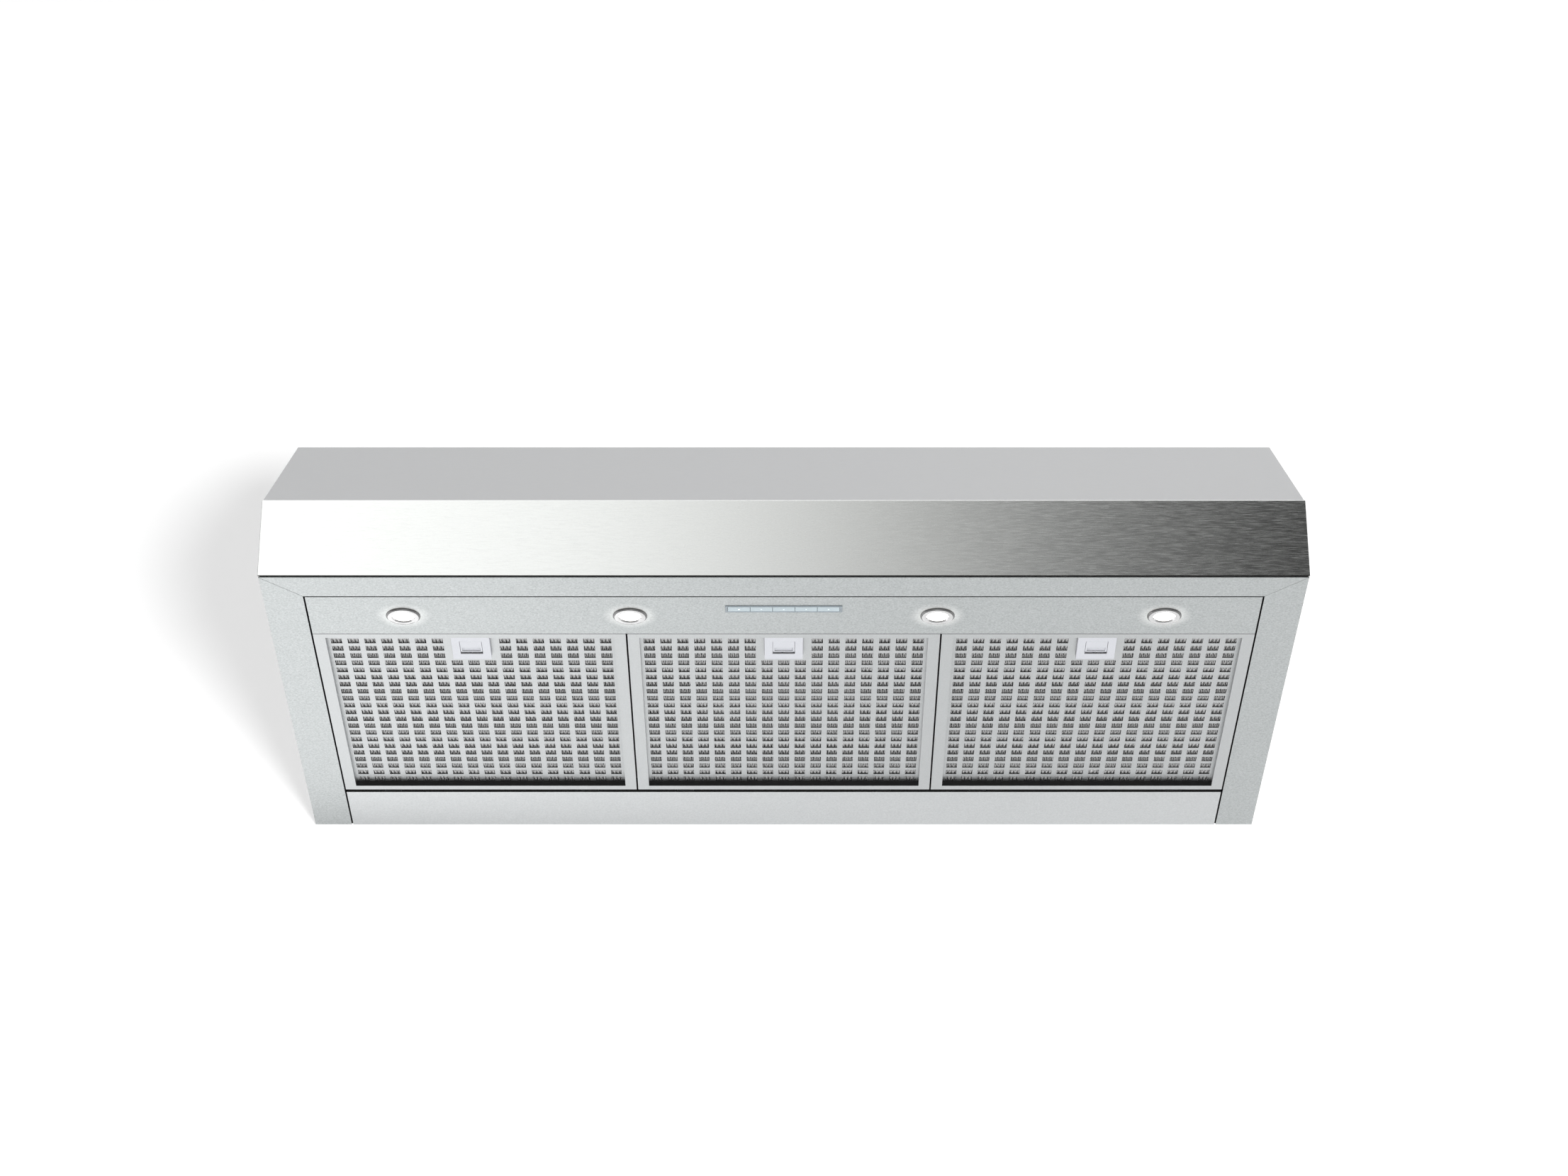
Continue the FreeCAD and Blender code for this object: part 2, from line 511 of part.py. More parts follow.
def filter_face(name, middle):
    """The perforated face sheet, with as many windows as fit between the borders. The grid is
    too fine for a feature pattern, so the sheet is one outline with its windows, extruded."""
    value = {alias: sheet.get(alias) for alias, _ in SIZES}
    inset = value["skin"] + value["face_play"]
    half, back = number(FILTER_WIDE) / 2 - inset, number(FILTER_DEEP) - inset
    latch_half = value["latch_wide"] / 2 + value["latch_play"]
    latch_back = number(LATCH_ROOM)
    half_hole = (value["hole_wide"] / 2, value["hole_deep"] / 2)

    def loop(x, y):
        corners = [(x[0], y[0]), (x[1], y[0]), (x[1], y[1]), (x[0], y[1]), (x[0], y[0])]
        return Part.makePolygon([FreeCAD.Vector(a, b, value["recess"]) for a, b in corners])

    side_room = number(FILTER_WIDE) / 2 - value["border_side"] - half_hole[0]
    rear_room = number(FILTER_DEEP) - value["border_rear"] - half_hole[1] - value["first_row"]
    columns_each_side = int(side_room / value["pitch_across"])
    rows = int(rear_room / value["pitch_back"]) + 1
    loops = [loop((-half, half), (inset, back)),
             loop((-latch_half, latch_half), (value["border_front"] + value["face_play"], latch_back))]
    for column in range(-columns_each_side, columns_each_side + 1):
        for line in range(rows):
            x = column * value["pitch_across"]
            y = value["first_row"] + line * value["pitch_back"]
            beside_latch = abs(x) - half_hole[0] >= latch_half + value["latch_margin"]
            if beside_latch or y - half_hole[1] >= latch_back + value["latch_margin"]:
                loops.append(loop((x - half_hole[0], x + half_hole[0]),
                                  (y - half_hole[1], y + half_hole[1])))
    feature = doc.addObject("Part::Feature", "perforated")
    perforated = Part.Face(loops, "Part::FaceMakerBullseye")
    feature.Shape = perforated.extrude(FreeCAD.Vector(0, 0, value["skin"]))
    piece(feature, f"{name}_filter_face", middle, f"{FRONT} + {FILTER_FRONT}")


def filter_mesh(name, middle):
    """Sheets of expanded aluminium mesh, spread between the face and the crimped lip."""
    inset = "size.skin + size.mesh_play"
    first = "(size.recess + size.skin)"
    last = "(size.filter_tall - size.skin - size.mesh_play - size.mesh_thick)"
    latch_half = "(size.latch_wide / 2 + size.latch_play)"
    layers = []
    for index in range(MESH_LAYERS):
        low = f"({first} + {index} * ({last} - {first}) / {MESH_LAYERS - 1})"
        layer = box((f"-{FILTER_WIDE} / 2 + {inset}", f"{FILTER_WIDE} / 2 - ({inset})"),
                    (inset, f"{FILTER_DEEP} - ({inset})"), (low, f"{low} + size.mesh_thick"))
        room = box((f"-{latch_half}", latch_half), ("-1", LATCH_ROOM),
                   ("0", "size.filter_tall + 1"))
        layers.append(cut(layer, room))
    piece(group(*layers), f"{name}_filter_mesh", middle, f"{FRONT} + {FILTER_FRONT}")


def latch(name, middle):
    """A push latch: a housing through the face, a sprung thumb slider and its coil spring."""
    thumb, low, fit = "size.thumb_wide / 2", "size.latch_low", "size.fit"
    plate = f"({low} + size.latch_plate)"
    begin = f"({LATCH_START} + size.thumb_start)"
    end = f"({begin} + size.thumb_deep)"
    slider_low = "(size.tongue_low - size.slider_drop)"
    slider_top = "(size.tongue_low + size.tongue_thick)"
    slider_half = f"({thumb} + size.slider_lap)"
    place = f"{FRONT} + {FILTER_FRONT}"

    block = box(("-size.latch_wide / 2", "size.latch_wide / 2"),
                (LATCH_START, f"{LATCH_START} + {LATCH_DEEP}"), (low, f"{low} + size.latch_tall"))
    room_half = f"({slider_half} + size.slider_play)"
    room = box((f"-{room_half}", room_half),
               (f"{LATCH_START} + size.latch_nose", f"{end} + size.spring_room"),
               (plate, f"{slider_top} + size.slider_play"))
    opening = box((f"-{thumb} - {fit}", f"{thumb} + {fit}"),
                  (f"{begin} - {fit}", f"{end} + size.latch_travel + {fit}"),
                  (f"{low} - 1", f"{plate} + 1"))
    mouth_half = "(size.tongue_wide / 2 + size.slider_play)"
    mouth = box((f"-{mouth_half}", mouth_half),
                (f"{LATCH_START} - 1", f"{LATCH_START} + size.latch_nose + 1"),
                ("size.tongue_low - size.slider_play", f"{slider_top} + size.slider_play"))
    piece(cut(block, room, opening, mouth), f"{name}_latch_housing", middle, place)

    body = box((f"-{slider_half}", slider_half), (begin, end), (slider_low, slider_top))
    boss = box((f"-{thumb}", thumb), (begin, end), (f"{low} + size.latch_play", slider_low))
    tongue = box(("-size.tongue_wide / 2", "size.tongue_wide / 2"),
                 (f"-size.front_gap + {fit}", begin), ("size.tongue_low", slider_top))
    dish = box((f"-{thumb} + size.dish_inset", f"{thumb} - size.dish_inset"),
               (f"{end} - size.dish_inset - size.dish_deep", f"{end} - size.dish_inset"),
               ("-1", plate))
    piece(cut(fuse(body, boss, tongue), dish), f"{name}_latch_slider", middle, place)

    value = {alias: sheet.get(alias) for alias, _ in SIZES}
    wire, radius = value["spring_wire"], value["spring_radius"]
    long = value["spring_room"] - 2 * wire - value["latch_play"]
    coil = Part.makeHelix(value["spring_pitch"], long, radius)
    section = Part.makeCircle(wire, FreeCAD.Vector(radius, 0, 0), FreeCAD.Vector(0, 1, 0))
    spring = Part.Wire(coil.Edges).makePipeShell([Part.Wire([section])], True, False)
    spring.rotate(FreeCAD.Vector(), FreeCAD.Vector(1, 0, 0), -90)
    feature = doc.addObject("Part::Feature", "coil")
    feature.Shape = spring
    piece(feature, f"{name}_latch_spring", middle,
          f"{place} + {end} + size.latch_play / 2 + size.spring_wire",
          f"{BOTTOM} + ({slider_low} + {slider_top}) / 2")


# ---------------------------------------------------------------- duct and blower
def collar():
    """The round duct collar with its flange, the damper rod and the two flaps."""
    top, middle = f"{BOTTOM} + size.height", f"{FRONT} + {DUCT_Y}"
    outer, inner = "size.collar_radius", "(size.collar_radius - size.collar_wall)"
    turned("duct_collar", [
        (inner, "0"), (f"{outer} + size.collar_flange", "0"),
        (f"{outer} + size.collar_flange", "size.sheet"), (outer, "size.sheet"),
        (outer, "size.collar_tall"), (inner, "size.collar_tall"),
    ], "0", middle, top)
    reach = f"({inner} - size.running)"
    rod_level = f"{top} + size.rod_up"
    piece(rod(f"-{reach}", "0", "0", "size.rod_radius", f"2 * {reach}", ALONG_X), "damper_rod",
          "0", middle, rod_level)
    damper_flap(-1, "front_damper_flap", inner, middle, rod_level)
    damper_flap(1, "rear_damper_flap", inner, middle, rod_level)


def damper_flap(side, label, inner, middle, level):
    """Half a disc with two knuckles on the rod. The four knuckles share the rod in quarters,
    the front flap's in the first and third, the rear flap's in the second and fourth."""
    knuckle = "(size.rod_radius + size.knuckle_wall)"
    clear = f"({knuckle} + size.knuckle_play)"
    leaf = ("-size.flap_thick / 2", "size.flap_thick / 2")
    half = doc.addObject("Part::Common", "half_disc")
    half.Base = rod("0", "0", leaf[0], f"{inner} - size.flap_gap", "size.flap_thick")
    half.Tool = box((f"-{inner}", inner),
                    (clear, inner) if side > 0 else (f"-{inner}", f"-{clear}"),
                    ("-size.flap_thick", "size.flap_thick"))
    joined = [half]
    quarter = f"(({inner} - size.knuckle_inset) / 2)"
    long = f"({quarter} - size.knuckle_gap)"
    lap = f"{clear} + size.leaf_lap"
    for index in ((-2, 0) if side < 0 else (-1, 1)):
        start = f"({index} * {quarter} + size.knuckle_gap / 2)"
        joined.append(box((start, f"{start} + {long}"), ("0", lap) if side > 0 else (f"-({lap})", "0"),
                          leaf))
        joined.append(rod(start, "0", "0", knuckle, long, ALONG_X))
    bore = rod(f"-{inner}", "0", "0", "size.rod_radius + size.running", f"2 * {inner}", ALONG_X)
    piece(cut(fuse(*joined), bore), label, "0", middle, level)


BLOWER_HALF = "(size.blower_wide / 2)"
BLOWER_PLACE = ("0", f"{FRONT} + {DUCT_Y}", f"{BOTTOM} + size.height - {BLOWER_DROP}")


def inlet_ring(start):
    """A flat ring round a blower inlet."""
    return tube(start, "0", "0", f"{INLET_RADIUS} + size.ring_out",
                f"{INLET_RADIUS} - size.ring_in", "size.ring_thick", ALONG_X)


def blower():
    """A double inlet centrifugal blower that hangs under the duct hole."""
    half, wall, roof = BLOWER_HALF, "size.sheet", f"({BLOWER_DROP} - size.sheet)"
    throat = "(size.collar_radius - size.collar_wall - size.throat_inset)"
    outer = fuse(rod(f"-{half}", "0", "0", BLOWER_RADIUS, "size.blower_wide", ALONG_X),
                 box((f"-{half}", half), (f"-{throat}", throat), ("0", roof)))
    inner = fuse(rod(f"-{half} + {wall}", "0", "0", f"{BLOWER_RADIUS} - {wall}",
                     f"size.blower_wide - 2 * {wall}", ALONG_X),
                 box((f"-{half} + {wall}", f"{half} - {wall}"),
                     (f"-{throat} + {wall}", f"{throat} - {wall}"), ("0", f"{roof} + 1")))
    inlets = rod(f"-{half} - 1", "0", "0", INLET_RADIUS, "size.blower_wide + 2", ALONG_X)
    piece(cut(cut(outer, inner), inlets), "blower_housing", *BLOWER_PLACE)
    piece(inlet_ring(f"-{half} - size.ring_thick"), "left_inlet_ring", *BLOWER_PLACE)
    piece(inlet_ring(half), "right_inlet_ring", *BLOWER_PLACE)


def blower_wheel():
    """A centre plate and hub, raked blades all round and a rim at each end."""
    body = sheet_body()
    wheel, blade, plate = WHEEL_RADIUS, "size.blade_deep", "size.plate_thick"
    wide = "(size.blower_wide - 2 * size.wheel_gap)"
    disc = body.newObject("PartDesign::Pad", "centre_plate")
    disc.Profile = ring_sketch(body, wheel, "size.shaft_radius")
    disc.setExpression("Length", plate)
    boss = body.newObject("PartDesign::Pad", "hub")
    boss.Profile = ring_sketch(body, "size.hub_radius", "size.shaft_radius")
    boss.Midplane = True
    boss.setExpression("Length", "size.hub_long")
    tip = f"{wheel} - size.blade_inset"
    vane = pad(body, "YZ_Plane", [
        (f"{wheel} - {blade}", "-size.blade_rake"), (tip, "-size.blade_thick / 2"),
        (tip, "size.blade_thick / 2"), (f"{wheel} - {blade}", "-size.blade_rake + size.blade_thick"),
    ], wide, True)
    vanes = body.newObject("PartDesign::PolarPattern", "vanes")
    vanes.Originals = [vane]
    vanes.Axis = (disc.Profile[0], ["N_Axis"])
    vanes.Angle = 360
    vanes.Occurrences = BLADES
    body.Tip = vanes
    for start in (f"{wide} / 2 - {plate}", f"-{wide} / 2"):
        rim = body.newObject("PartDesign::Pad", "rim")
        outline = ring_sketch(body, wheel, f"{wheel} - {blade}")
        outline.setExpression("AttachmentOffset.Base.z", start)
        rim.Profile = outline
        rim.setExpression("Length", plate)
    piece(body, "blower_wheel", *BLOWER_PLACE)


def motor():
    """The motor beside the wheel's hub, its shaft, its bracket on the left ring, its capacitor."""
    shaft, grip, spare = "size.shaft_radius", "size.shaft_grip", "size.socket_spare"
    inner_end = "(-size.hub_long / 2 - size.motor_gap)"
    outer_end = f"({inner_end} - size.motor_long)"
    piece(rod(f"{inner_end} - {grip}", "0", "0", shaft, f"size.shaft_past - {inner_end} + {grip}",
              ALONG_X), "motor_shaft", *BLOWER_PLACE)
    can = rod(outer_end, "0", "0", "size.motor_radius", "size.motor_long", ALONG_X)
    socket = rod(f"{inner_end} - {grip} - {spare}", "0", "0", f"{shaft} + size.running",
                 f"{grip} + 2 * {spare}", ALONG_X)
    piece(cut(can, socket), "blower_motor", *BLOWER_PLACE)

    start = f"(-{BLOWER_HALF} - 2 * size.ring_thick)"
    sleeve = f"max(size.ring_thick; {outer_end} + size.bracket_grip - {start})"
    clamp = rod(start, "0", "0", "size.motor_radius + size.clamp_wall", sleeve, ALONG_X)
    arms = []
    for index in range(ARMS):
        arm = group(box((start, f"{start} + size.ring_thick"),
                        ("size.motor_radius + size.clamp_wall / 2", INLET_RADIUS),
                        ("-size.arm_wide / 2", "size.arm_wide / 2")))
        turn = FreeCAD.Rotation(FreeCAD.Vector(1, 0, 0), 360 / ARMS * index)
        arm.Placement = FreeCAD.Placement(FreeCAD.Vector(), turn)
        arms.append(arm)
    hole = rod(f"{start} - 1", "0", "0", "size.motor_radius", f"{sleeve} + 2", ALONG_X)
    piece(cut(fuse(clamp, inlet_ring(start), *arms), hole), "motor_bracket", *BLOWER_PLACE)

    capacitor = rod(f"{BLOWER_HALF} + size.capacitor_gap", "0", "0", "size.capacitor_radius",
                    "size.capacitor_long", ALONG_X)
    piece(capacitor, "motor_capacitor", "0", f"{FRONT} + {DUCT_Y}",
          f"{BOTTOM} + size.height - size.sheet - size.capacitor_radius")


def ring_sketch(body, outer, inner):
    """Two circles about the body's X axis, on its YZ plane."""
    outline = body.newObject("Sketcher::SketchObject", "rings")
    plane = [item for item in body.Origin.OriginFeatures if item.Role == "YZ_Plane"][0]
    outline.AttachmentSupport = (plane, [""])
    outline.MapMode = "FlatFace"
    for index, radius in enumerate((outer, inner)):
        outline.addGeometry(Part.Circle(FreeCAD.Vector(), FreeCAD.Vector(0, 0, 1), number(radius)))
        outline.addConstraint(Sketcher.Constraint("Coincident", index, 3, -1, 1))
        place = outline.addConstraint(Sketcher.Constraint("Radius", index, number(radius)))
        outline.setExpression(f"Constraints[{place}]", radius)
    return outline


# ---------------------------------------------------------------- electrical parts
def hung_box(x, wide, deep, low, high):
    """A block on the line of the cable hole, between two depths below the top panel."""
    roof = "(size.height - size.sheet)"
    return box((f"{x} - ({wide}) / 2", f"{x} + ({wide}) / 2"),
               (f"{CABLE_Y} - ({deep}) / 2", f"{CABLE_Y} + ({deep}) / 2"),
               (f"{roof} - ({low})", f"{roof} - ({high})"))


def electrics():
    """The junction box under the cable hole, its cover, the lamp driver and the wire channel."""
    wide, deep, tall = "size.junction_wide", "size.junction_deep", "size.junction_tall"
    shell = cut(hung_box(CABLE_X, wide, deep, tall, "0"),
                hung_box(CABLE_X, f"{wide} - 2 * size.sheet", f"{deep} - 2 * size.sheet",
                         f"{tall} + 1", "size.sheet"),
                rod(CABLE_X, CABLE_Y, "size.height - 3 * size.sheet", "size.cable_hole",
                    "3 * size.sheet"))
    piece(shell, "junction_box")
    piece(hung_box(CABLE_X, wide, deep, f"{tall} + size.sheet", tall), "junction_box_cover")
    piece(hung_box(f"-{CABLE_X}", "size.driver_wide", "size.driver_deep", "size.driver_tall", "0"),
          "lamp_driver")
    front = f"({LAMP_Y} + size.lamp_hole + size.channel_gap)"
    back, wall = "size.light_panel_back", "size.channel_wall"
    channel = cut(box(("size.strip_wide / 2 + size.channel_start", f"{PANEL_SIDE} - size.channel_end"),
                      (front, f"{back} - size.sheet"), ("size.sheet", "size.channel_tall")),
                  box(("0", PANEL_SIDE), (f"{front} + {wall}", back),
                      ("0", f"size.channel_tall - {wall}")))
    piece(channel, "wire_channel")


front_fascia()
slope_panel()
top_panel()
back_panel()
side_panel(-1, "left_side_panel")
side_panel(1, "right_side_panel")
front_rim()
side_rim(-1, "left_rim")
side_rim(1, "right_rim")
light_panel()
rear_panel()
shell_screws()
lamps()
controls()
for filter_name, filter_middle in FILTERS:
    filter_frame(filter_name, filter_middle)
    filter_face(filter_name, filter_middle)
    filter_mesh(filter_name, filter_middle)
    latch(filter_name, filter_middle)
collar()
blower()
blower_wheel()
motor()
electrics()

doc.recompute()
faults = [f"{item.Label}: {item.State}" for item in doc.Objects
          if "Invalid" in item.State or "Error" in item.State]
for item in pieces:
    if item.Shape.isNull() or not item.Shape.isValid() or not item.Shape.Solids:
        faults.append(f"{item.Label}: bad shape")
if faults:
    raise RuntimeError("; ".join(faults))

os.makedirs("parts", exist_ok=True)
for item in pieces:
    item.Shape.exportStep(f"parts/{item.Label}.step")
print(len(pieces), "pieces")
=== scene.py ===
import math

import bpy
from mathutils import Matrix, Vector


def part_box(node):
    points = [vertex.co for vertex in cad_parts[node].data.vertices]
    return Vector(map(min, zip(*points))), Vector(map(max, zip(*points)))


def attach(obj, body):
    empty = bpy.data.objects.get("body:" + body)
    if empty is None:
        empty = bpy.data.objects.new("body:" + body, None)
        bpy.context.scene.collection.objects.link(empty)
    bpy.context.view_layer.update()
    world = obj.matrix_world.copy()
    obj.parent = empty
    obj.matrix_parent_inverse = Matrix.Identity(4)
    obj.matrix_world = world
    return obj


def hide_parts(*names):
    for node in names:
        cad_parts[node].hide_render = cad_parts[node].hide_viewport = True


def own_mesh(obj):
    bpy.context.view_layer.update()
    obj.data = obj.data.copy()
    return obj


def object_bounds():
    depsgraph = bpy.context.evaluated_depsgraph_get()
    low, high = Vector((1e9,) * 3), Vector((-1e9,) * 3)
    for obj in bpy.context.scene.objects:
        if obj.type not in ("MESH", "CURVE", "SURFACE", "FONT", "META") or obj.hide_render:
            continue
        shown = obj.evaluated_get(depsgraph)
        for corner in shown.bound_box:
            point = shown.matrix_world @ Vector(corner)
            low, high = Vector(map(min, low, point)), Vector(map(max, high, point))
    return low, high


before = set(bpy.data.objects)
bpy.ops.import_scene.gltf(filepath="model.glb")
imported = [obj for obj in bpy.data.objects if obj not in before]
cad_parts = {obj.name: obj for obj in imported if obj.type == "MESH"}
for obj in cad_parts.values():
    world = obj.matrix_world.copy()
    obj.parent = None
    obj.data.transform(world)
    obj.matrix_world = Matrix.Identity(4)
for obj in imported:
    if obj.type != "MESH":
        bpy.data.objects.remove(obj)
cad_low, cad_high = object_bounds()


# Front fascia: the upright lip. One stainless sheet, brushed along its length, with small bend
# radii at the top and bottom folds. Its mirror-like grain shows a long light to dark sweep.
def deselect():
    bpy.ops.object.select_all(action="DESELECT")


def solid_copy(node, name, body="hood", bend=0.0006, steps=2, smooth=35):
    """A joined-up copy of a CAD node with its edges softened by a bevel."""
    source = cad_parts[node]
    deselect()
    piece = source.copy()
    piece.data = source.data.copy()
    for key in list(piece.keys()):
        del piece[key]
    piece.name = name
    piece.data.name = name
    piece.parent = None
    bpy.context.scene.collection.objects.link(piece)
    bpy.context.view_layer.objects.active = piece
    piece.select_set(True)
    if piece.data.has_custom_normals:
        bpy.ops.mesh.customdata_custom_splitnormals_clear()
    bpy.ops.object.mode_set(mode="EDIT")
    bpy.ops.mesh.select_all(action="SELECT")
    bpy.ops.mesh.remove_doubles(threshold=1e-6)
    bpy.ops.mesh.dissolve_limited(angle_limit=math.radians(0.6))
    bpy.ops.object.mode_set(mode="OBJECT")
    if bend:
        bpy.ops.object.shade_smooth()
        bevel = piece.modifiers.new("bend", "BEVEL")
        bevel.width = bend
        bevel.segments = steps
        bevel.limit_method = "ANGLE"
        bevel.angle_limit = math.radians(smooth)
        bevel.harden_normals = True
        bpy.ops.object.modifier_apply(modifier="bend")
    else:
        bpy.ops.object.shade_smooth_by_angle(angle=math.radians(smooth))
    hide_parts(node)
    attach(piece, body)
    return piece


def new_material(name):
    """A material with its principled shader and node tree ready."""
    material = bpy.data.materials.new(name)
    material.use_nodes = True
    tree = material.node_tree
    return material, tree, tree.nodes["Principled BSDF"]


def object_pattern(tree, scale, kind="ShaderNodeTexNoise", **sockets):
    """A texture that reads Object coordinates through a Mapping node."""
    coordinates = tree.nodes.new("ShaderNodeTexCoord")
    mapping = tree.nodes.new("ShaderNodeMapping")
    mapping.inputs["Scale"].default_value = scale
    texture = tree.nodes.new(kind)
    for socket, value in sockets.items():
        texture.inputs[socket].default_value = value
    tree.links.new(coordinates.outputs["Object"], mapping.inputs["Vector"])
    tree.links.new(mapping.outputs["Vector"], texture.inputs["Vector"])
    return texture


def ramp(tree, source, low, high, start=0.3, end=0.7):
    """Colours between low and high as source goes from start to end."""
    node = tree.nodes.new("ShaderNodeValToRGB")
    node.color_ramp.elements[0].position = start
    node.color_ramp.elements[1].position = end
    node.color_ramp.elements[0].color = (*low, 1.0)
    node.color_ramp.elements[1].color = (*high, 1.0)
    tree.links.new(source, node.inputs["Fac"])
    return node.outputs["Color"]


def shade(value):
    return (value, value, value)


def bump(tree, shader, source, distance, strength=1.0):
    node = tree.nodes.new("ShaderNodeBump")
    node.inputs["Strength"].default_value = strength
    node.inputs["Distance"].default_value = distance
    tree.links.new(source, node.inputs["Height"])
    tree.links.new(node.outputs["Normal"], shader.inputs["Normal"])


def grained_metal(name, low, high, roughness, grain, depth=0.00002, metallic=1.0, rough_span=0.1):
    """Sheet metal whose fine grain varies its colour, gloss and surface."""
    material, tree, shader = new_material(name)
    fine = object_pattern(tree, grain, Scale=1.0, Detail=4.0, Roughness=0.65)
    tree.links.new(ramp(tree, fine.outputs["Fac"], low, high), shader.inputs["Base Color"])
    tree.links.new(ramp(tree, fine.outputs["Fac"], shade(roughness - rough_span / 2),
                        shade(roughness + rough_span / 2)), shader.inputs["Roughness"])
    bump(tree, shader, fine.outputs["Fac"], depth)
    shader.inputs["Metallic"].default_value = metallic
    return material


def finish_with(piece, *materials):
    piece.data.materials.clear()
    for material in materials:
        piece.data.materials.append(material)


# Grain counts per metre along x, y and z.
LONG_GRAIN = (60.0, 1500.0, 1500.0)      # long scratches along the hood
EVEN_GRAIN = (900.0, 900.0, 900.0)
# Depths of a surface's relief, in metres.
SHALLOW = 0.00001
MILLED = 0.00002
SIDEWAYS = 0.7                           # a face looks sideways when its normal leans past this
UPRIGHT = 0.3                            # a face counts as upright when its normal rises less
# Bend radii of the edges, in metres.
LIP_BEND = 0.0016                        # its lower bend, in the rim's gap, carries painted shade
SOFT_BEND = 0.0004
FINE_BEND = 0.0003
SLIGHT_BEND = 0.0002


def give_edges(piece, steel, test=lambda face: abs(face.normal.z) < UPRIGHT):
    """A second material on the faces that pass a test, by default the upright ones."""
    piece.data.materials.append(steel)
    for face in piece.data.polygons:
        if test(face):
            face.material_index = len(piece.data.materials) - 1


lip_steel = grained_metal("lip_brushed_steel", (0.625, 0.637, 0.623), (0.665, 0.677, 0.663), 0.22,
                          LONG_GRAIN, SHALLOW, rough_span=0.26)
fascia = solid_copy("front_fascia", "fascia_lip", bend=LIP_BEND, steps=4)
finish_with(fascia, lip_steel)
# Painted shade: the lip's lower bend, in the shade of the rim's gap, and its side ends are coloured
# near black.
lip_painted_shade = grained_metal("lip_bend_painted_shade", shade(0.012), shade(0.02), 0.7, LONG_GRAIN, SHALLOW,
                           metallic=0.6)
bend_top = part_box("front_fascia")[0][2] + LIP_BEND
give_edges(fascia, lip_painted_shade,
           lambda face: face.center.z < bend_top or abs(face.normal.x) > SIDEWAYS)


# Slope panel: the raked sheet above the lip, the same steel with a finer, softer grain.
SLOPE_GRAIN = (90.0, 1800.0, 1800.0)
slope_steel = grained_metal("slope_satin_steel", (0.335, 0.339, 0.344), (0.37, 0.375, 0.382), 0.38,
                            SLOPE_GRAIN, SHALLOW)
slope = solid_copy("slope_panel", "slope_sheet", bend=SOFT_BEND)
finish_with(slope, slope_steel)


# Side, top and back panels: plain stainless sheets that the cabinets and the wall hide. The
# grain runs front to back on the ends and along the hood on the top and back.
DEEP_GRAIN = (1500.0, 60.0, 1500.0)
side_steel = grained_metal("side_satin_steel", shade(0.56), shade(0.66), 0.34, DEEP_GRAIN, MILLED)
shell_steel = grained_metal("shell_satin_steel", shade(0.56), shade(0.66), 0.36, LONG_GRAIN, MILLED)
for node, steel, slot in (("left_side_panel", side_steel, "side_steel"),
                          ("right_side_panel", side_steel, "side_steel"),
                          ("top_panel", shell_steel, "shell_steel"),
                          ("back_panel", shell_steel, "shell_steel")):
    finish_with(solid_copy(node, f"{node}_sheet", bend=FINE_BEND), steel)


# Rims: the border of the underside, in a pale satin steel with a fine random fleck. Their
# upright faces, the sheared edges and upturned flanges, carry painted shade, so the gaps between
# them are dark.
FLECK = (480.0, 480.0, 480.0)
FLECK_LOW = (0.296, 0.312, 0.313)
FLECK_HIGH = (0.484, 0.504, 0.506)
UNDER_ROUGH = 0.42
under_steel = grained_metal("under_fleck_steel", FLECK_LOW, FLECK_HIGH, UNDER_ROUGH, FLECK, MILLED)
painted_edge_shade = grained_metal("edge_painted_shade_steel", shade(0.012), shade(0.02), 0.7, EVEN_GRAIN,
                           SHALLOW, metallic=0.6)
for node in ("front_rim", "left_rim", "right_rim"):
    strip = solid_copy(node, f"{node}_sheet", bend=FINE_BEND)
    finish_with(strip, under_steel)
    # Painted shade: the rims' upright faces are coloured near black.
    give_edges(strip, painted_edge_shade)


# Light panel: the same pale flecked steel. Each of its four lamps stands a little below it, and
# a soft ring of painted glow on the sheet round each lamp stands in for the light it throws.
def blend_along(tree, source, start, end, low, high):
    """A smooth number from low to high as source goes from start to end."""
    node = tree.nodes.new("ShaderNodeMapRange")
    node.interpolation_type = "SMOOTHSTEP"
    for socket, value in (("From Min", start), ("From Max", end), ("To Min", low),
                          ("To Max", high)):
        node.inputs[socket].default_value = value
    tree.links.new(source, node.inputs["Value"])
    return node.outputs["Result"]


def combine(tree, a, b, operation="MULTIPLY"):
    """The product, or another combination, of two numbers or sockets."""
    node = tree.nodes.new("ShaderNodeMath")
    node.operation = operation
    for index, value in enumerate((a, b)):
        if isinstance(value, (int, float)):
            node.inputs[index].default_value = value
        else:
            tree.links.new(value, node.inputs[index])
    return node.outputs[0]


LAMPS = ("far_left", "left", "right", "far_right")
SPILL_REACH = 0.036                      # how far from a lamp's centre the painted glow reaches
SPILL_START = 0.017                      # the distance within which it is brightest
SPILL_GLOW = 0.30


def middle(low, high):
    """The middle of a box in x and y."""
    return (low[0] + high[0]) / 2, (low[1] + high[1]) / 2


panel_steel_painted_glow = grained_metal("light_panel_flecked_steel_painted_glow", FLECK_LOW, FLECK_HIGH, UNDER_ROUGH, FLECK,
                            MILLED)
tree = panel_steel_painted_glow.node_tree
shader = tree.nodes["Principled BSDF"]
place = tree.nodes.new("ShaderNodeTexCoord")
spill = 0.0
for lamp in LAMPS:
    low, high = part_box(f"{lamp}_lamp_bezel")
    away = tree.nodes.new("ShaderNodeVectorMath")
    away.operation = "DISTANCE"
    away.inputs[1].default_value = (*middle(low, high), high[2])
    tree.links.new(place.outputs["Object"], away.inputs[0])
    glow = blend_along(tree, away.outputs["Value"], SPILL_REACH, SPILL_START, 0.0, SPILL_GLOW)
    spill = combine(tree, glow, spill, "ADD")
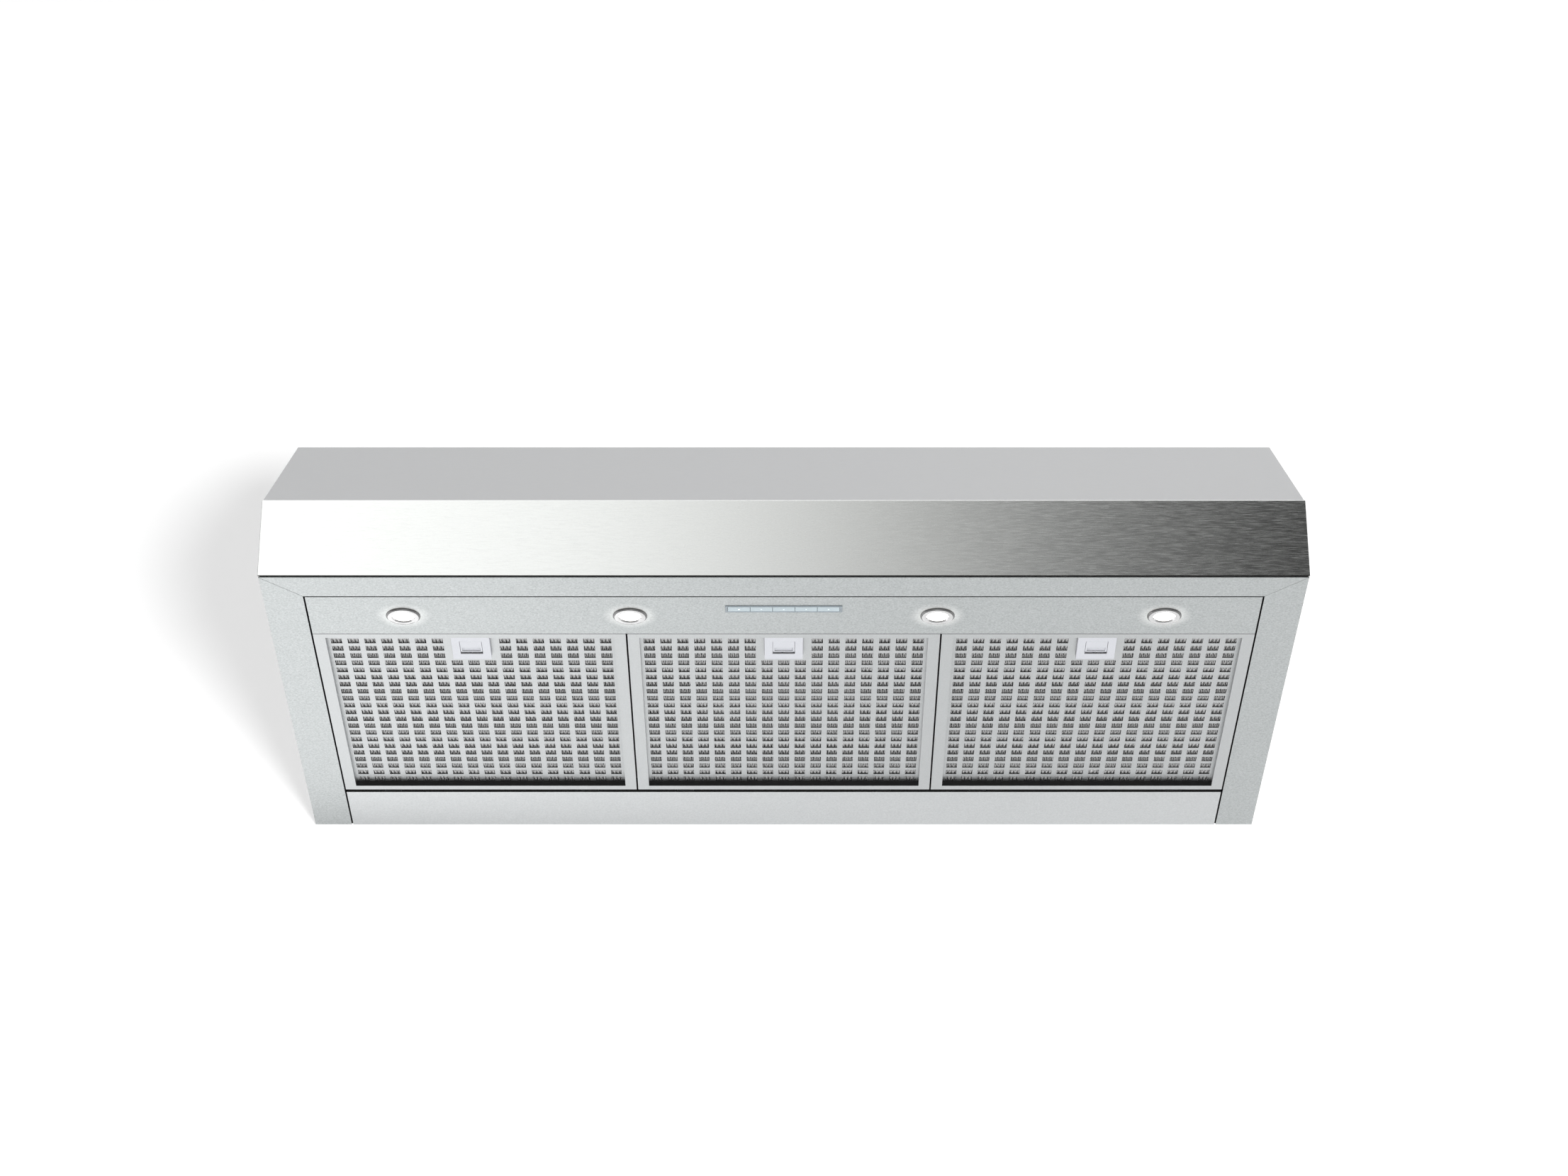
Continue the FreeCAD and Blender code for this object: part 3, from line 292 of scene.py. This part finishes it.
# Painted light: the rings of glow are emission on the sheet itself.
tree.links.new(spill, shader.inputs["Emission Strength"])
shader.inputs["Emission Color"].default_value = (1.0, 0.98, 0.94, 1.0)
light_panel = solid_copy("light_panel", "light_panel_sheet", bend=FINE_BEND)
finish_with(light_panel, panel_steel_painted_glow)
# Painted shade: the panel's upright faces are coloured near black.
give_edges(light_panel, painted_edge_shade)


# Rear panel: the plain strip behind the filters, in a flecked steel a little paler than the
# rims'. Its sheared edges carry painted shade and show as dark lines against the filters.
rear_steel = grained_metal("rear_fleck_steel", (0.42, 0.433, 0.438), (0.55, 0.563, 0.568),
                           UNDER_ROUGH, FLECK, MILLED)
rear = solid_copy("rear_panel", "rear_panel_sheet", bend=FINE_BEND)
finish_with(rear, rear_steel)
give_edges(rear, painted_edge_shade)


# Shell screws: low pan heads, bright plated, which hold the end panels and the top and back
# panels together.
PLATED_GRAIN = (400.0, 400.0, 400.0)
bright_steel = grained_metal("bright_plated_steel", shade(0.62), shade(0.72), 0.18, PLATED_GRAIN,
                             SHALLOW)
finish_with(solid_copy("shell_screws", "shell_screw_heads", bend=FINE_BEND),
            bright_steel)


# Lamps: a polished bezel below the panel, a faceted frosted lens that is lit, and a lamp body
# above. The outer rim of each bezel is a dark chrome, a painted dark reflection.
POLISH_GRAIN = (300.0, 300.0, 300.0)
POLISHED = 0.000005                      # the relief of a polished surface, in metres
POLISH_SPAN = 0.04
lamp_chrome = grained_metal("lamp_polished_chrome", shade(0.50), shade(0.57), 0.09, POLISH_GRAIN,
                            POLISHED, rough_span=POLISH_SPAN)
rim_painted_reflection = grained_metal("lamp_rim_painted_dark_reflection", shade(0.13), shade(0.18), 0.12, POLISH_GRAIN,
                           POLISHED, rough_span=POLISH_SPAN)
RIM_WIDE = 0.0022                        # the turned-up outer rim of a bezel
FLAT = -0.9                              # a face that looks straight down has a normal below this
for lamp in LAMPS:
    ring = solid_copy(f"{lamp}_lamp_bezel", f"{lamp}_bezel_ring", bend=SLIGHT_BEND,
                      smooth=50)
    finish_with(ring, lamp_chrome)
    low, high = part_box(f"{lamp}_lamp_bezel")
    centre = middle(low, high)
    rim_from = (high[0] - low[0]) / 2 - RIM_WIDE
    # Painted reflection: the outer rim's faces are coloured dark like a reflected dark arc.
    give_edges(ring, rim_painted_reflection, lambda face: face.normal.z > FLAT and math.hypot(
        face.center.x - centre[0], face.center.y - centre[1]) > rim_from)

FACETS = (420.0, 420.0, 420.0)
LENS_GLOW = 6.0
BODY_GRAIN = (500.0, 500.0, 500.0)
lens_glow, tree, shader = new_material("lamp_lens_glow")
facets = object_pattern(tree, FACETS, kind="ShaderNodeTexVoronoi", Scale=1.0)
tree.links.new(ramp(tree, facets.outputs["Distance"], (1.0, 0.97, 0.9), (1.0, 1.0, 1.0)),
               shader.inputs["Base Color"])
tree.links.new(ramp(tree, facets.outputs["Distance"], (1.0, 0.95, 0.86), (1.0, 0.99, 0.96)),
               shader.inputs["Emission Color"])
shader.inputs["Emission Strength"].default_value = LENS_GLOW
shader.inputs["Roughness"].default_value = 0.3
finish_with(solid_copy("lamp_lenses", "lamp_lens_discs", bend=SOFT_BEND, smooth=50),
            lens_glow)
lamp_body = grained_metal("lamp_cast_body", shade(0.55), shade(0.65), 0.45, BODY_GRAIN)
finish_with(solid_copy("lamp_bodies", "lamp_body_cups", smooth=50), lamp_body)


# Key strip: a pale clear bezel with five glossy keys side by side. Each key has a small dot, lit
# on the power key, and the keys' gaps are the short ticks along the strip.
def plastic(name, low, high, roughness, grain=900.0, coat=0.0, depth=0.000008):
    """Moulded plastic with a faint mottle and a fine skin."""
    material, tree, shader = new_material(name)
    fine = object_pattern(tree, (grain, grain, grain), Scale=1.0, Detail=3.0)
    tree.links.new(ramp(tree, fine.outputs["Fac"], low, high), shader.inputs["Base Color"])
    bump(tree, shader, fine.outputs["Fac"], depth)
    shader.inputs["Roughness"].default_value = roughness
    shader.inputs["Coat Weight"].default_value = coat
    return material


KEYS = ("power_key", "slower_key", "faster_key", "timer_key", "light_key")
SPECKS = (2000.0, 2000.0, 2000.0)
DOT_GLOW = 0.8
DOT_RADIUS = 0.0008
DOT_SCALE = (1.4, 1.0, 0.12)             # wider than deep, and nearly flat
bezel_blue = plastic("key_bezel_clear_blue", (0.15, 0.18, 0.20), (0.19, 0.22, 0.24), 0.25, coat=0.1)
key_blue = plastic("key_cap_pale_blue", (0.30, 0.36, 0.39), (0.34, 0.40, 0.43), 0.25, coat=0.1)
finish_with(solid_copy("control_bezel", "key_strip_bezel", bend=SOFT_BEND), bezel_blue)
for key in KEYS:
    finish_with(solid_copy(key, f"{key}_cap", body=key, bend=FINE_BEND), key_blue)
dot_glow, tree, shader = new_material("key_dot_glow")
speck = object_pattern(tree, SPECKS, Scale=1.0)
tree.links.new(ramp(tree, speck.outputs["Fac"], (0.9, 0.95, 1.0), (1.0, 1.0, 1.0)),
               shader.inputs["Emission Color"])
shader.inputs["Emission Strength"].default_value = DOT_GLOW
dot_dim = plastic("key_dot_print", (0.62, 0.68, 0.72), (0.68, 0.74, 0.78), 0.3)
for key in KEYS:
    low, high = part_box(key)
    deselect()
    bpy.ops.mesh.primitive_uv_sphere_add(segments=16, ring_count=8, radius=DOT_RADIUS,
                                         location=(*middle(low, high), low[2]),
                                         scale=DOT_SCALE)
    dot = bpy.context.object
    dot.name = f"{key}_dot"
    bpy.ops.object.transform_apply(location=True, rotation=True, scale=True)
    bpy.ops.object.shade_smooth()
    finish_with(dot, dot_glow if key == KEYS[0] else dot_dim)
    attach(dot, key)
board_green = plastic("board_green_mask", (0.02, 0.12, 0.05), (0.03, 0.16, 0.07), 0.5)
finish_with(solid_copy("control_board", "key_board", bend=SLIGHT_BEND),
            board_green)
black = plastic("black_moulded_plastic", shade(0.02), shade(0.035), 0.55)
for node in ("control_box", "lamp_driver", "wire_channel"):
    finish_with(solid_copy(node, f"{node}_moulding", bend=0.0005), black)


# Filters: a folded aluminium frame, a face sheet punched with windows, and layers of expanded
# mesh behind it. Each layer is zigzag strands on edge that meet their neighbours in diamonds.
FILTERS = ("left", "middle", "right")
SATIN_GRAIN = (700.0, 700.0, 700.0)
filter_satin = grained_metal("filter_satin_aluminium", (0.38, 0.391, 0.395), (0.47, 0.483, 0.487),
                             UNDER_ROUGH, SATIN_GRAIN, MILLED)
mesh_metal = grained_metal("expanded_mesh_aluminium", shade(0.46), shade(0.60), 0.5,
                           EVEN_GRAIN, 0.00003, metallic=0.5)
# The expanded mesh, in metres.
STRAND_PITCH = 0.0022                    # from one strand to the next
STRAND_WIDE = 0.0008
STRAND_LEAN = 0.0009                     # how far a strand's one edge stands above its other
STRAND_THICK = 0.0003
DIAMOND_LONG = 0.016
MESH_LAYERS = 2
LAYER_STEP = 0.0014                      # from one layer up to the next
RAIL_SIDE = 0.001                        # the outer side faces of a filter frame lie in this


def pick_points(piece, test):
    """Go into edit mode with only the points that pass a test selected."""
    bpy.ops.object.mode_set(mode="OBJECT")
    for edge in piece.data.edges:
        edge.select = False
    for face in piece.data.polygons:
        face.select = False
    for point in piece.data.vertices:
        point.select = test(point.co)
    bpy.ops.object.mode_set(mode="EDIT")
    bpy.ops.mesh.select_mode(type="VERT")


def finish_modifier(piece, kind, **settings):
    """Add a modifier with its settings and apply it."""
    modifier = piece.modifiers.new(kind.lower(), kind)
    for setting, value in settings.items():
        setattr(modifier, setting, value)
    bpy.ops.object.modifier_apply(modifier=modifier.name)


def expanded_mesh(name, node, latch, body):
    """Layers of zigzag strands in a node's box, cut away round the latch."""
    low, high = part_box(node)
    room_low, room_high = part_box(latch)
    halfway = (low[1] + high[1]) / 2
    halves = 2 * round((high[1] - low[1]) / DIAMOND_LONG)
    half_long = (high[1] - low[1] - 2 * STRAND_THICK) / halves
    pairs = int((high[0] - low[0] - STRAND_PITCH) / (2 * STRAND_PITCH))
    deselect()
    bpy.ops.mesh.primitive_grid_add(x_subdivisions=1, y_subdivisions=halves, size=1,
                                    location=(STRAND_PITCH / 2, halfway, low[2] + STRAND_THICK))
    piece = bpy.context.object
    piece.name = name
    piece.scale = (STRAND_WIDE, halves * half_long, 1)
    bpy.ops.object.transform_apply(location=True, rotation=True, scale=True)
    pick_points(piece, lambda point: point.x > STRAND_PITCH / 2)
    bpy.ops.transform.translate(value=(0, 0, STRAND_LEAN))
    start = halfway - halves * half_long / 2
    pick_points(piece, lambda point: round((point.y - start) / half_long) % 2 == 0)
    bpy.ops.transform.translate(value=(STRAND_PITCH / 2 - STRAND_WIDE / 2, 0, 0))
    bpy.ops.object.mode_set(mode="OBJECT")
    finish_modifier(piece, "MIRROR", use_axis=(True, False, False), use_mirror_merge=False)
    piece.location.x = low[0] + STRAND_PITCH
    bpy.ops.object.transform_apply(location=True, rotation=True, scale=True)
    finish_modifier(piece, "ARRAY", count=pairs, use_relative_offset=False,
                    use_constant_offset=True, constant_offset_displace=(2 * STRAND_PITCH, 0, 0))
    finish_modifier(piece, "ARRAY", count=MESH_LAYERS, use_relative_offset=False,
                    use_constant_offset=True,
                    constant_offset_displace=(STRAND_PITCH, 0, LAYER_STEP))
    pick_points(piece, lambda point: room_low[0] - STRAND_PITCH < point.x < room_high[0]
                + STRAND_PITCH and point.y < room_high[1] + STRAND_PITCH)
    bpy.ops.mesh.delete(type="VERT")
    bpy.ops.object.mode_set(mode="OBJECT")
    finish_modifier(piece, "SOLIDIFY", thickness=STRAND_THICK, offset=0)
    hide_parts(node)
    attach(piece, body)
    return piece


for side in FILTERS:
    body = f"{side}_filter"
    low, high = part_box(f"{side}_filter_frame")
    frame_piece = solid_copy(f"{side}_filter_frame", f"{side}_frame", body,
                             bend=FINE_BEND)
    punched = solid_copy(f"{side}_filter_face", f"{side}_punched_face", body,
                         bend=0.0)
    for part in (frame_piece, punched):
        finish_with(part, filter_satin)
        # Painted shade: faces looking to the front, such as the windows' cut edges, and the frame's
        # outer side faces are near black.
        give_edges(part, painted_edge_shade, lambda face: face.normal.y < -SIDEWAYS
                   or abs(face.normal.x) > SIDEWAYS
                   and not low[0] + RAIL_SIDE < face.center.x < high[0] - RAIL_SIDE)
    finish_with(expanded_mesh(f"{side}_expanded_mesh", f"{side}_filter_mesh",
                              f"{side}_latch_housing", body), mesh_metal)


# Latches: a moulded housing through each filter's face, and a thumb slider pushed by a small
# coil spring. Pale lavender plastic with soft edges; painted shade darkens the housing's inner
# walls, the thumb's upright faces and the recessed finger pocket.
latch_plastic = plastic("latch_pale_plastic", (0.42, 0.43, 0.46), (0.46, 0.47, 0.50), 0.4)
latch_painted_shade = plastic("latch_wall_painted_shade", shade(0.05), shade(0.07), 0.6)
latch_hollow_painted_shade = plastic("latch_finger_recess_painted_shade", (0.15, 0.15, 0.165), (0.19, 0.19, 0.205), 0.5)
HOLLOW_UP = 0.0025                       # a face this far above the latch's underside is recessed
CASE_WALL = 0.002                        # the housing's own outer wall
SPRING_GRAIN = (800.0, 800.0, 800.0)
spring_steel = grained_metal("spring_wire", shade(0.5), shade(0.65), 0.25, SPRING_GRAIN)
for side in FILTERS:
    case = solid_copy(f"{side}_latch_housing", f"{side}_latch_case",
                      f"{side}_filter", bend=SOFT_BEND)
    finish_with(case, latch_plastic)
    low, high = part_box(f"{side}_latch_housing")
    # Painted shade: the housing's inner upright walls are coloured near black.
    give_edges(case, latch_painted_shade, lambda face: abs(face.normal.z) < UPRIGHT
               and low[0] + CASE_WALL < face.center.x < high[0] - CASE_WALL
               and low[1] + CASE_WALL < face.center.y < high[1] - CASE_WALL)
    # Painted shade: the recessed, downward faces of the finger pocket are a mid grey.
    give_edges(case, latch_hollow_painted_shade, lambda face: face.normal.z < FLAT
               and face.center.z > low[2] + HOLLOW_UP)
    thumb = solid_copy(f"{side}_latch_slider", f"{side}_latch_thumb",
                       f"{side}_latch", bend=SOFT_BEND)
    finish_with(thumb, latch_plastic)
    # Painted shade: the thumb's upright faces are coloured near black.
    give_edges(thumb, latch_painted_shade)
    # Painted shade on the thumb's recessed finger pocket.
    give_edges(thumb, latch_hollow_painted_shade, lambda face: face.normal.z < -UPRIGHT
               and face.center.z > low[2] + HOLLOW_UP)
    coil = solid_copy(f"{side}_latch_spring", f"{side}_latch_coil",
                      f"{side}_filter", bend=0.0, smooth=60)
    finish_with(coil, spring_steel)
    low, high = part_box(f"{side}_latch_spring")
    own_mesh(coil)


# Duct collar, dampers, blower and boxes: galvanised sheet with a spangle, a black motor with a
# pale capacitor, and bright plated rods.
galvanised, tree, shader = new_material("galvanised_spangle")
SPANGLE = (90.0, 90.0, 90.0)
spangle = object_pattern(tree, SPANGLE, kind="ShaderNodeTexVoronoi", Scale=1.0)
tree.links.new(ramp(tree, spangle.outputs["Color"], shade(0.45), shade(0.65), 0.1, 0.9),
               shader.inputs["Base Color"])
shader.inputs["Metallic"].default_value = 1.0
shader.inputs["Roughness"].default_value = 0.4
motor_black = plastic("motor_black_paint", shade(0.015), shade(0.03), 0.35)
capacitor_white = plastic("capacitor_shell", (0.62, 0.62, 0.6), (0.68, 0.68, 0.66), 0.3)
wheel_metal = grained_metal("wheel_sheet", shade(0.45), shade(0.58), 0.4, PLATED_GRAIN)
for node, body, slot, material in (
        ("duct_collar", "hood", "galvanised", galvanised),
        ("damper_rod", "hood", "fastener", bright_steel),
        ("front_damper_flap", "front_damper", "galvanised", galvanised),
        ("rear_damper_flap", "rear_damper", "galvanised", galvanised),
        ("blower_housing", "hood", "galvanised", galvanised),
        ("left_inlet_ring", "hood", "galvanised", galvanised),
        ("right_inlet_ring", "hood", "galvanised", galvanised),
        ("blower_wheel", "blower_wheel", "wheel_steel", wheel_metal),
        ("motor_shaft", "blower_wheel", "fastener", bright_steel),
        ("blower_motor", "hood", "motor_black", motor_black),
        ("motor_bracket", "hood", "galvanised", galvanised),
        ("motor_capacitor", "hood", "capacitor", capacitor_white),
        ("junction_box", "hood", "galvanised", galvanised),
        ("junction_box_cover", "hood", "galvanised", galvanised)):
    finish_with(solid_copy(node, f"{node}_part", body, bend=FINE_BEND, smooth=50), material)


# Stage: a white wall close behind the hood that shows only from the front, and a pale floor far
# below. The wall glows more at its lower left, which the satin underside picks up, and a little
# more towards its right.
WALL_GAP = 0.004
WALL_SIZE = 30
FLOOR_LEVEL = -3.6
FLOOR_SIZE = 60


def object_parts(tree):
    """Object coordinates as separate x, y and z."""
    place = tree.nodes.new("ShaderNodeTexCoord")
    parts = tree.nodes.new("ShaderNodeSeparateXYZ")
    tree.links.new(place.outputs["Object"], parts.inputs["Vector"])
    return parts


deselect()
bpy.ops.mesh.primitive_plane_add(size=WALL_SIZE, location=(0, cad_high[1] + WALL_GAP, 0),
                                 rotation=(math.pi / 2, 0, 0))
wall = bpy.context.object
wall.name = "stage_wall"
wall_white, tree, shader = new_material("stage_wall_white")
shader.inputs["Base Color"].default_value = (*shade(0.55), 1)
shader.inputs["Roughness"].default_value = 1.0
shader.inputs["Specular IOR Level"].default_value = 0.0
parts = object_parts(tree)
WALL_GLOW = 0.45
LOWER_LEFT_GLOW = 0.62
RIGHT_GLOW = 0.08
# Where on the wall each extra glow starts and where it is full, in metres.
LEFTWARD = (0.3, -0.7)
DOWNWARD = (-0.33, -0.43)
RIGHTWARD = (-1.0, 0.6)
leftward = blend_along(tree, parts.outputs["X"], *LEFTWARD, 0.0, LOWER_LEFT_GLOW)
downward = blend_along(tree, parts.outputs["Y"], *DOWNWARD, 0.0, 1.0)
rightward = blend_along(tree, parts.outputs["X"], *RIGHTWARD, 0.0, RIGHT_GLOW)
glow_level = combine(tree, combine(tree, leftward, downward), WALL_GLOW, "ADD")
glow_level = combine(tree, rightward, glow_level, "ADD")
tree.links.new(glow_level, shader.inputs["Emission Strength"])
shader.inputs["Emission Color"].default_value = (*shade(1.0), 1.0)


def one_sided(tree, shader):
    """Let the camera see through a sheet from its back."""
    clear = tree.nodes.new("ShaderNodeBsdfTransparent")
    facing = tree.nodes.new("ShaderNodeNewGeometry")
    mix = tree.nodes.new("ShaderNodeMixShader")
    tree.links.new(facing.outputs["Backfacing"], mix.inputs[0])
    tree.links.new(shader.outputs[0], mix.inputs[1])
    tree.links.new(clear.outputs[0], mix.inputs[2])
    tree.links.new(mix.outputs[0], tree.nodes["Material Output"].inputs["Surface"])


one_sided(tree, shader)
finish_with(wall, wall_white)
bpy.ops.mesh.primitive_plane_add(size=FLOOR_SIZE, location=(0, 0, FLOOR_LEVEL))
floor = bpy.context.object
floor.name = "stage_floor"
floor_pale, tree, shader = new_material("stage_floor_pale")
shader.inputs["Base Color"].default_value = (*shade(0.85), 1)
shader.inputs["Roughness"].default_value = 1.0
one_sided(tree, shader)
finish_with(floor, floor_pale)


# Sweep card: a tall screen in front and above, white at its left and dark at its right, which
# the lip mirrors, and an overhead card for the slope and the bends. Neither shows itself.
CARD_WIDE = 9.0
CARD_TALL = 3.4
CARD_PLACE = (0, -3.4, 1.6)
OVERHEAD_WIDE = 6.0
OVERHEAD_DEEP = 3.0
OVERHEAD_PLACE = (0, -1.0, 2.6)
OVERHEAD_GLOW = 2.0
# Places across the card, in metres from its middle, and how bright it is there.
SWEEP = ((-1.2, 1.75), (-0.42, 1.46), (0.13, 0.85), (0.55, 0.28), (1.0, 0.03))


def stage_card(name, place, turn, wide, tall):
    """A flat card for the pieces to mirror, which neither shows itself nor casts a shadow."""
    bpy.ops.mesh.primitive_plane_add(size=1, location=place, rotation=(turn, 0, 0))
    card = bpy.context.object
    card.name = name
    card.scale = (wide, tall, 1.0)
    bpy.ops.object.transform_apply(location=False, rotation=False, scale=True)
    card.visible_camera = False
    card.visible_diffuse = False
    card.visible_shadow = False
    return card


def glowing_screen(tree, strength):
    """Make a material's surface plain emission and return its node."""
    screen = tree.nodes.new("ShaderNodeEmission")
    screen.inputs["Strength"].default_value = strength
    tree.links.new(screen.outputs[0], tree.nodes["Material Output"].inputs["Surface"])
    return screen


card = stage_card("stage_sweep_card", CARD_PLACE, math.pi / 2, CARD_WIDE, CARD_TALL)
sweep, tree, shader = new_material("stage_sweep")
parts = object_parts(tree)
across = combine(tree, combine(tree, parts.outputs["X"], 1 / CARD_WIDE), 0.5, "ADD")
fall = tree.nodes.new("ShaderNodeValToRGB")
while len(fall.color_ramp.elements) < len(SWEEP):
    fall.color_ramp.elements.new(0.5)
BRIGHTEST = SWEEP[0][1]
for stop, (x, bright) in zip(fall.color_ramp.elements, SWEEP):
    stop.position = x / CARD_WIDE + 0.5
    stop.color = (*shade(bright / BRIGHTEST), 1.0)
tree.links.new(across, fall.inputs["Fac"])
tree.links.new(fall.outputs["Color"], glowing_screen(tree, BRIGHTEST).inputs["Color"])
finish_with(card, sweep)
overhead = stage_card("stage_overhead_card", OVERHEAD_PLACE, math.pi, OVERHEAD_WIDE,
                      OVERHEAD_DEEP)
overhead_glow, tree, shader = new_material("stage_overhead_glow")
glowing_screen(tree, OVERHEAD_GLOW)
finish_with(overhead, overhead_glow)


# Lights: one large soft light low at the right, which throws the shadow to the left, and an
# even surround that looks white.
KEY_PLACE = Vector((0.70, -4.3, -2.1))
KEY_TARGET = Vector((0.0, 0.0, -0.15))
KEY_SIZE = 0.9
KEY_WATTS = 205
SURROUND = 0.5
bpy.ops.object.light_add(type="AREA", location=KEY_PLACE)
key_light = bpy.context.object
key_light.name = "key_right"
key_light.data.shape = "DISK"
key_light.data.size = KEY_SIZE
key_light.data.energy = KEY_WATTS
key_light.rotation_euler = (KEY_TARGET - KEY_PLACE).to_track_quat("-Z", "Y").to_euler()
key_light.visible_camera = False
key_light.visible_glossy = False

world = bpy.data.worlds.new("studio")
bpy.context.scene.world = world
world.use_nodes = True
tree = world.node_tree
sky = tree.nodes["Background"]
sky.inputs["Color"].default_value = (*shade(1.0), 1.0)
sky.inputs["Strength"].default_value = SURROUND
white = tree.nodes.new("ShaderNodeBackground")
white.inputs["Color"].default_value = (*shade(1.0), 1.0)
path = tree.nodes.new("ShaderNodeLightPath")
pick = tree.nodes.new("ShaderNodeMixShader")
tree.links.new(path.outputs["Is Camera Ray"], pick.inputs[0])
tree.links.new(sky.outputs[0], pick.inputs[1])
tree.links.new(white.outputs[0], pick.inputs[2])
tree.links.new(pick.outputs[0], tree.nodes["World Output"].inputs["Surface"])


# Camera: in front of the hood and well below it, looking up. Its place and lens were solved so
# that the hood's outline lies where the photo has it.
CAMERA_SIDE = 0.0003
CAMERA_BACK = 4.389
CAMERA_DOWN = 2.304
CAMERA_PITCH = math.radians(27.559)
CAMERA_LENS = 98.34
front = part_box("front_fascia")[0]
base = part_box("front_rim")[0]
bpy.ops.object.camera_add(location=(CAMERA_SIDE, front[1] - CAMERA_BACK, base[2] - CAMERA_DOWN),
                          rotation=(math.pi / 2 + CAMERA_PITCH, 0, 0))
camera = bpy.context.object
camera.data.lens = CAMERA_LENS
camera.data.sensor_width = 36.0
camera.data.clip_end = 100.0
bpy.context.scene.camera = camera
bpy.context.scene.view_settings.view_transform = "Standard"
